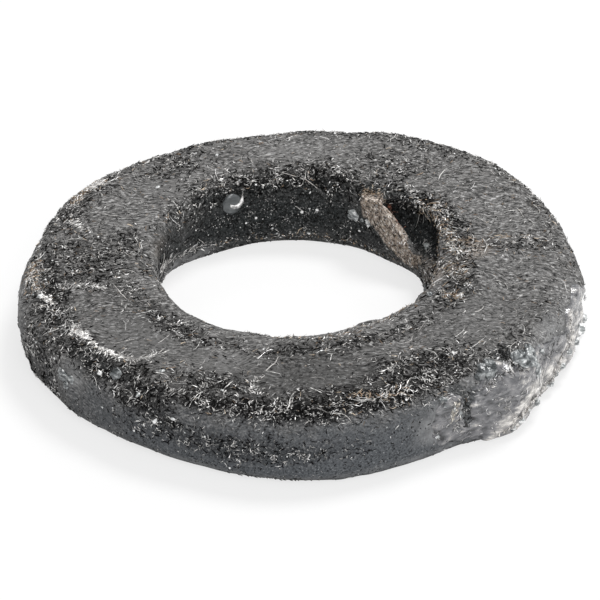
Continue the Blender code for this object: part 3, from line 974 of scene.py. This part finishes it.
# Hairs, smears and flecks that show on their own, at pixels of the frame
LONG_HAIRS = [
    (((276, 172), (290, 175), (306, 180), (320, 190), (332, 204)), 0.16, PALES[1]),
    (((220, 346), (222, 349), (226, 351)), 0.26, PALES[0]),
    (((263, 372), (268, 370), (273, 366), (276, 362), (277, 358), (280, 356)), 0.26, PALES[1]),
    (((275, 361), (277, 364), (280, 366)), 0.18, LIGHTS[2]),
    (((295, 392), (290, 399), (289, 405), (286, 412)), 0.3, PALES[0]),
    (((224, 389), (229, 385), (234, 381)), 0.30, PALES[0]),
    (((486, 242), (487, 248), (484, 254)), 0.28, PALES[0]),
    (((486, 242), (482, 239)), 0.22, PALES[0]),
    (((486, 242), (491, 238)), 0.22, PALES[0]),
    (((438, 181), (441, 175), (446, 169)), 0.34, PALES[0]),
    (((526, 194), (529, 197), (531, 199)), 0.2, PALES[1]),
    (((516, 208), (520, 212), (524, 218)), 0.2, PALES[1]),
    (((528, 219), (532, 223), (535, 227)), 0.22, PALES[0]),
    (((112, 283), (121, 294), (129, 302)), 0.2, PALES[1]),
    (((134, 303), (146, 301), (156, 299)), 0.18, LIGHTS[2]),
    (((296, 235), (299, 230), (303, 227)), 0.24, TANS[1]),
    (((198, 238), (203, 243), (206, 246)), 0.2, PALES[1]),
    (((346, 240), (351, 236), (350, 232)), 0.18, LIGHTS[1]),
    (((294, 205), (299, 208), (303, 212)), 0.24, PALES[0]),
    (((398, 249), (411, 246), (420, 242)), 0.14, LIGHTS[1]),
    (((160, 270), (163, 262), (164, 252)), 0.3, PALES[1]),
    (((420, 205), (432, 204), (444, 203)), 0.3, TANS[0]),
]
TEAR_RIM = ((408, 200), (428, 208), (442, 220), (450, 236), (458, 252))
# Painted highlight on the clear bead: a wide pale hair along a crescent
BUBBLE_HIGHLIGHT = ((226, 203), (231, 205), (236, 204), (240, 201), (243, 195))
felt_marks = [felt.drawn(pixels, width, colour) for pixels, width, colour in LONG_HAIRS]
felt_marks.append(felt.drawn(BUBBLE_HIGHLIGHT, 1.1, PALES[2], 0.9, 0.02))
# Bands of short hairs along pixels of the frame: pixels, count, half width, lengths, widths, colours,
# lifts, and steps where they aren't 4
FELT_SMEARS = [
    (((70, 326), (80, 334), (92, 342), (104, 350), (119, 356)), 130, 0.16, (0.5, 1.5), (0.16, 0.34), PALES,
     FLAT),
    (((72, 326), (78, 331), (86, 337)), 90, 0.4, (0.6, 1.8), (0.14, 0.3), PALES, LOW),
    (((103, 350), (110, 353), (119, 357)), 60, 0.3, (0.6, 1.8), (0.14, 0.3), PALES, LOW),
    (((58, 338), (68, 334), (78, 330)), 14, 0.3, (1.5, 3.0), PLAIN, PALES, LOOSE),
    (((66, 322), (74, 330), (84, 337)), 50, 0.6, (0.8, 2.0), PLAIN, PALES, LOW),
    (((119, 356), (132, 359), (148, 358), (161, 353)), 60, 0.12, (1.0, 2.4), FINE, PALES),
    (((38, 291), (44, 297), (51, 304)), 150, 0.28, (0.5, 1.4), (0.16, 0.34), PALES, (0.0, 0.12)),
    (((65, 290), (76, 286), (84, 284)), 60, 0.25, (0.5, 1.4), (0.16, 0.3), LIGHTS + PALES[:1], FLAT),
    (((84, 286), (95, 286), (103, 290)), 36, 0.12, (0.8, 1.8), (0.12, 0.18), PALES),
    (((68, 220), (76, 224), (84, 229)), 80, 0.3, (0.6, 1.6), FULL, PALES),
    (((34, 262), (32, 275), (38, 288)), 200, 0.8, (0.8, 2.2), PLAIN, PALES + TANS),
    (((70, 205), (86, 190), (98, 182)), 260, 0.8, (0.8, 2.2), PLAIN, PALES + TANS),
    (((86, 192), (93, 187), (101, 183)), 80, 0.5, (1.0, 2.6), FULL, PALES, HIGH),
    (((160, 276), (166, 264), (182, 254), (204, 246)), 170, 0.35, (0.6, 2.0), PLAIN, LIGHTS + PALES, LOW),
    (((249, 389), (254, 383), (258, 378)), 24, 0.2, (0.8, 1.6), (0.12, 0.18), PALES),
    (((410, 208), (428, 212), (440, 222), (448, 236), (456, 250)), 60, 0.7, (1.4, 3.6), FINE, TANS + LIGHTS,
     (0.1, 0.8), 7),
    (TEAR_RIM, 240, 0.9, (0.4, 1.2), (0.12, 0.26), LIGHTS + PALES + TANS, (0.1, 0.4)),
    (TEAR_RIM, 160, 0.9, (0.4, 1.4), THICK, BLACKS, RAISED),
    (((412, 204), (430, 211), (442, 224), (450, 240)), 70, 0.5, (0.8, 2.2), FINE, TANS + WARM, HIGH, 5),
    (((446, 243), (452, 248), (459, 254)), 70, 0.35, (0.6, 1.8), THICK, PALES + WARM, (0.1, 0.7)),
    (((438, 222), (440, 235), (439, 250), (436, 262)), 130, 0.5, (0.6, 1.8), FULL, BLACKS + TANS + PALES[:1],
     (0.1, 0.7)),
    (((360, 195), (370, 191), (382, 194)), 70, 0.5, (0.6, 1.8), MIXED, TANS + BLACKS, (0.05, 0.5)),
    (((436, 222), (446, 232), (458, 238)), 30, 0.8, (1.2, 2.6), FULL, PALES, (0.2, 0.8), 7),
    (((452, 240), (466, 240), (490, 238)), 50, 0.5, (1.0, 2.6), FINE, TANS + MIDS, LOOSE),
    (((490, 238), (512, 236), (540, 238)), 26, 0.4, (1.0, 2.6), (0.1, 0.16), TANS + LIGHTS, LOW),
    (((427, 283), (438, 290), (448, 296), (460, 297)), 120, 0.7, (0.6, 2.0), BROAD, LIGHTS + PALES + TANS,
     HIGH),
    (((424, 240), (427, 246), (430, 253)), 40, 0.3, (0.4, 1.0), THICK, LIGHTS + PALES, LOW),
    (((436, 262), (448, 268), (462, 272)), 120, 0.9, (0.5, 1.5), PLAIN, TANS + PALES, RAISED),
    (((345, 397), (365, 401), (385, 397), (405, 388)), 50, 0.6, (1.5, 4.0), PLAIN, PALES + TANS, RAISED, 7),
    (((387, 203), (391, 211), (397, 222), (403, 228)), 50, 0.12, (0.5, 1.2), PLAIN, REDS, (0.0, 0.15)),
    (((110, 440), (170, 460), (240, 474), (300, 479), (360, 477), (420, 464), (470, 448)), 260, 0.35,
     (0.4, 1.1), BROAD, BLACKS + DARKS, LOOSE),
    (((215, 243), (250, 238), (290, 236), (330, 238), (365, 246), (400, 262)), 170, 0.4, (0.3, 0.9), PLAIN,
     LIGHTS + PALES + TANS, LOOSE),
    (((225, 322), (262, 334), (300, 339), (340, 337), (380, 322), (410, 305)), 240, 0.5, (0.4, 1.4), FINE,
     TANS + LIGHTS + PALES, HIGH),
    (((170, 285), (190, 300), (210, 312)), 120, 0.8, (0.4, 1.4), FINE, TANS + LIGHTS, HIGH),
    (((499, 346), (504, 354), (509, 360)), 140, 0.45, (0.4, 1.0), (0.2, 0.34), BLACKS[:1], LOOSE),
    (((386, 196), (396, 199), (410, 206)), 60, 0.5, (0.6, 1.6), (0.16, 0.3), BLACKS, RAISED),
]
felt_marks += [felt.smear(*row) for row in FELT_SMEARS]

# Scattered hairs of a piece: count, chance at each place, lengths, widths, lifts and colours, and where they
# differ from bunch's, spread, curl, the way they lie and steps
SCATTERED = [
    ("strands_dark", dark_look, [
        (4300, flat, (0.6, 2.0), FINE, (0.0, 0.08), DARKS, 0.35, 0.3, comb_direction),
        (900, up * calm, (0.3, 1.2), FINE, (0.0, 0.05), BLACKS + DARKS, 0.4, 0.3, comb_direction),
        (2000, open_side * (0.1 + clumps), (0.4, 1.2), (0.12, 0.26), FLAT, BLACKS + DARKS, 0.5, 0.5),
        (1500, down, (1.5, 4.0), PLAIN, (0.0, 0.05), DARKS, 0.5, 0.2, comb_direction),
    ]),
    ("strands_light", light_look, [
        # Light strands lying on the flats, their pale tone partly the felt's own fibres and partly painted
        # sheen of the satin grease
        (4600, flat, (0.6, 2.0), (0.09, 0.15), (0.0, 0.08), MIDS + LIGHTS, 0.35, 0.3, comb_direction),
        (350, up * calm, (0.3, 1.6), (0.07, 0.13), (0.0, 0.05), LIGHTS, 0.4, 0.25, comb_direction),
        (900, open_side * (0.1 + clumps), (0.3, 1.0), MIXED, FLAT, LIGHTS, 0.5, 0.5),
        (1500, down, (1.5, 4.0), (0.1, 0.17), (0.0, 0.05), LIGHTS, 0.5, 0.2, comb_direction),
        (420, tongue, (0.4, 1.3), MIXED, (0.0, 0.06), TANS + PALES, 0.35, 0.2, tongue_direction),
    ]),
    ("curls_dark", dark_look, [
        (7000, shaggy, (0.8, 1.9), (0.15, 0.3), LOOSE, BLACKS[:1]),
        # Black curls on the black felt, and in the tear's hollow as painted shade
        (1600, (black + tear) * side, (0.8, 2.0), PLAIN, LOW, BLACKS),
        (2200, up * (1.0 - 0.75 * calm) + side * 0.4, (0.4, 1.1), MIXED, (0.0, 0.25), BLACKS, 0.5, 0.7),
        (200, tongue, (0.4, 1.1), MIXED, (0.0, 0.06), DARKS, 0.35, 0.2, tongue_direction),
    ]),
    # Pale curls: partly pale fibres of the felt, partly painted glints of the wet felt, clustered by clumps
    # in the shaggy zones, on the black felt and on the open walls
    ("pale_curls_and_glints", light_look, [
        (4500, curls_and_glints * clumps, (0.5, 1.5), MIXED, (0.15, 0.5), PALES, 0.5, 0.55),
        (900, curls_and_glints * clumps, (0.3, 1.1), MIXED, (0.15, 0.5), LIGHTS),
        (1000, curls_and_glints * (1.0 - clumps), (0.5, 1.6), (0.09, 0.16), RAISED, LIGHTS),
        (700, black * side * clumps, (0.2, 0.6), BROAD, (0.05, 0.25), LIGHTS + PALES),
        (350, open_side * clumps, (0.2, 0.6), BROAD, (0.05, 0.25), PALES),
        (500, up * (1.0 - calm), (0.8, 2.2), (0.09, 0.15), (0.05, 0.4), TANS, 0.5, 0.7),
        (1200, up * (1.0 - calm), (0.3, 1.0), (0.09, 0.16), (0.1, 0.3), LIGHTS + PALES),
        (120, up, (3.0, 6.0), (0.09, 0.15), (0.1, 0.3), PALES, 0.8, 0.25, comb_direction, 7),
    ]),
]
COAT_HAIRS = [
    (600, greased_rise, (0.4, 1.5), MIXED, LOW, LIGHTS + PALES, 0.5, 0.5),
    (700, greased_rise, (0.5, 2.0), (0.08, 0.15), (0.0, 0.06), DARKS, 0.5, 0.3, around_direction),
    (300, greased_rise, (0.5, 2.0), (0.07, 0.13), (0.0, 0.06), PALES, 0.5, 0.3, around_direction),
]
# As FELT_SMEARS, with the ground before the pixels
COAT_SMEARS = [
    (greased, ((470, 404), (467, 414), (466, 424)), 50, 0.25, (0.5, 1.2), THICK, BLACKS, (0.0, 0.15)),
    (felt, ((440, 450), (462, 446), (484, 442)), 70, 0.4, (0.8, 2.4), FINE, LIGHTS + PALES + BLACKS, LOOSE),
    (greased, ((499, 345), (506, 354), (511, 362)), 110, 0.5, (0.5, 1.5), THICK, BLACKS, LOOSE),
    (greased, ((478, 392), (490, 382), (506, 373), (526, 370)), 60, 0.2, (0.6, 1.6), BROAD, DARKS, FLAT),
    (greased, ((497, 397), (508, 410), (519, 421)), 50, 0.5, (0.6, 2.0), FULL, COAT_TONES, FLAT),
    # Thin pale lines painted as highlights on the glassy grease lumps
    (greased, ((503, 352), (510, 360), (512, 371)), 24, 0.1, (0.6, 1.6), (0.14, 0.24), PALES, LOW),
    (greased, ((515, 354), (518, 361), (521, 368)), 16, 0.1, (0.6, 1.6), (0.14, 0.24), PALES, LOW),
    (greased, ((484, 395), (491, 388), (499, 380)), 20, 0.1, (0.6, 1.8), PLAIN, COAT_TONES, FLAT),
    (greased, ((568, 318), (572, 332), (568, 346)), 60, 0.5, (0.5, 1.4), (0.12, 0.26), COAT_TONES, LOOSE),
    (greased, ((566, 312), (556, 345), (540, 372), (522, 396), (500, 418)), 90, 0.7, (0.8, 2.6), (0.08, 0.15),
     DARKS + BLACKS, FLAT),
    # A warm pale streak painted as the highlight of the warm grease patch
    (greased, ((452, 423), (454, 414), (457, 404)), 60, 0.25, (0.5, 1.4), (0.14, 0.26), WARM, FLAT),
    (greased, ((462, 400), (460, 414), (455, 430)), 40, 0.2, (0.6, 1.8), FINE, PALES + DARKS, (0.0, 0.15)),
    (greased, ((436, 405), (440, 398), (452, 393)), 70, 0.7, (0.6, 1.8), MIXED, BLACKS + PALES, LOOSE),
    (greased, COAT_TEETH, 90, 0.4, (0.5, 1.2), (0.25, 0.5), COAT_TONES, (0.2, 0.7)),
]

pieces = [body, coat, blobs]
for name, look, rows in SCATTERED:
    pieces.append(hair_piece(name, look, [felt.bunch(*row) for row in rows]))
coat_marks = [greased.bunch(*row) for row in COAT_HAIRS]
coat_marks += [ground.smear(*row) for ground, *row in COAT_SMEARS]
pieces.append(hair_piece("loose_fibres_and_highlights", light_look, felt_marks + coat_marks))

for piece in pieces:
    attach(piece, "root")


# Floor and light

FLOOR_SIZE = 8.0
FLOOR_GAP = 0.2 * MM
FLOOR_GLOW = 0.72
# Soft round lamps: name, place and size in metres, power in watts
LAMPS = [
    ("key_from_above", (0.28, 0.28, 0.74), 0.3, 4.9),
    ("sheen_from_behind", (0.1, 0.85, 0.55), 0.3, 1.8),
    ("fill_from_front", (0.2, -0.7, 0.5), 0.6, 3.6),
]
WORLD_LIGHT = 0.42


def stage_floor():
    """A plain white floor that keeps the object's shadow, and is white where the camera sees it bare."""
    bpy.ops.mesh.primitive_plane_add(size=FLOOR_SIZE, location=(0.0, 0.0, -FLOOR_GAP))
    floor = bpy.context.object
    floor.name = "floor"
    material, tree, shader, _ = new_material("floor_white", 0.9)
    fill(tree, shader, {"Base Color": grey(0.85)})
    glow = add_node(tree, "Emission", {"Color": grey(1.0), "Strength": 1.0}).outputs[0]
    rays = add_node(tree, "LightPath").outputs
    share = calculated(tree, "MULTIPLY", rays["Is Camera Ray"], FLOOR_GLOW)
    mixed = add_node(tree, "MixShader", {0: share, 1: shader.outputs[0], 2: glow}).outputs[0]
    fill(tree, tree.nodes["Material Output"], {"Surface": mixed})
    floor.data.materials.append(material)


def soft_light(name, place, size, power):
    light = bpy.data.lights.new(name, "AREA")
    light.shape = "DISK"
    light.size = size
    light.energy = power
    obj = new_object(name, light)
    obj.location = place
    obj.rotation_euler = (-Vector(place)).to_track_quat("-Z", "Y").to_euler()


def world_light(strength):
    """Even light from all sides, seen as white by the camera and through what is clear."""
    world = bpy.data.worlds.new("studio")
    bpy.context.scene.world = world
    world.use_nodes = True
    tree = world.node_tree
    rays = add_node(tree, "LightPath").outputs
    seen = calculated(tree, "MAXIMUM", rays["Is Camera Ray"], rays["Is Transmission Ray"])
    level = add_node(tree, "MapRange", {"Value": seen, "To Min": strength, "To Max": 1.0}).outputs[0]
    fill(tree, tree.nodes["Background"], {"Color": grey(1.0), "Strength": level})


stage_floor()
world_light(WORLD_LIGHT)
for lamp in LAMPS:
    soft_light(*lamp)
photo_camera()
bpy.context.scene.view_settings.view_transform = "Standard"
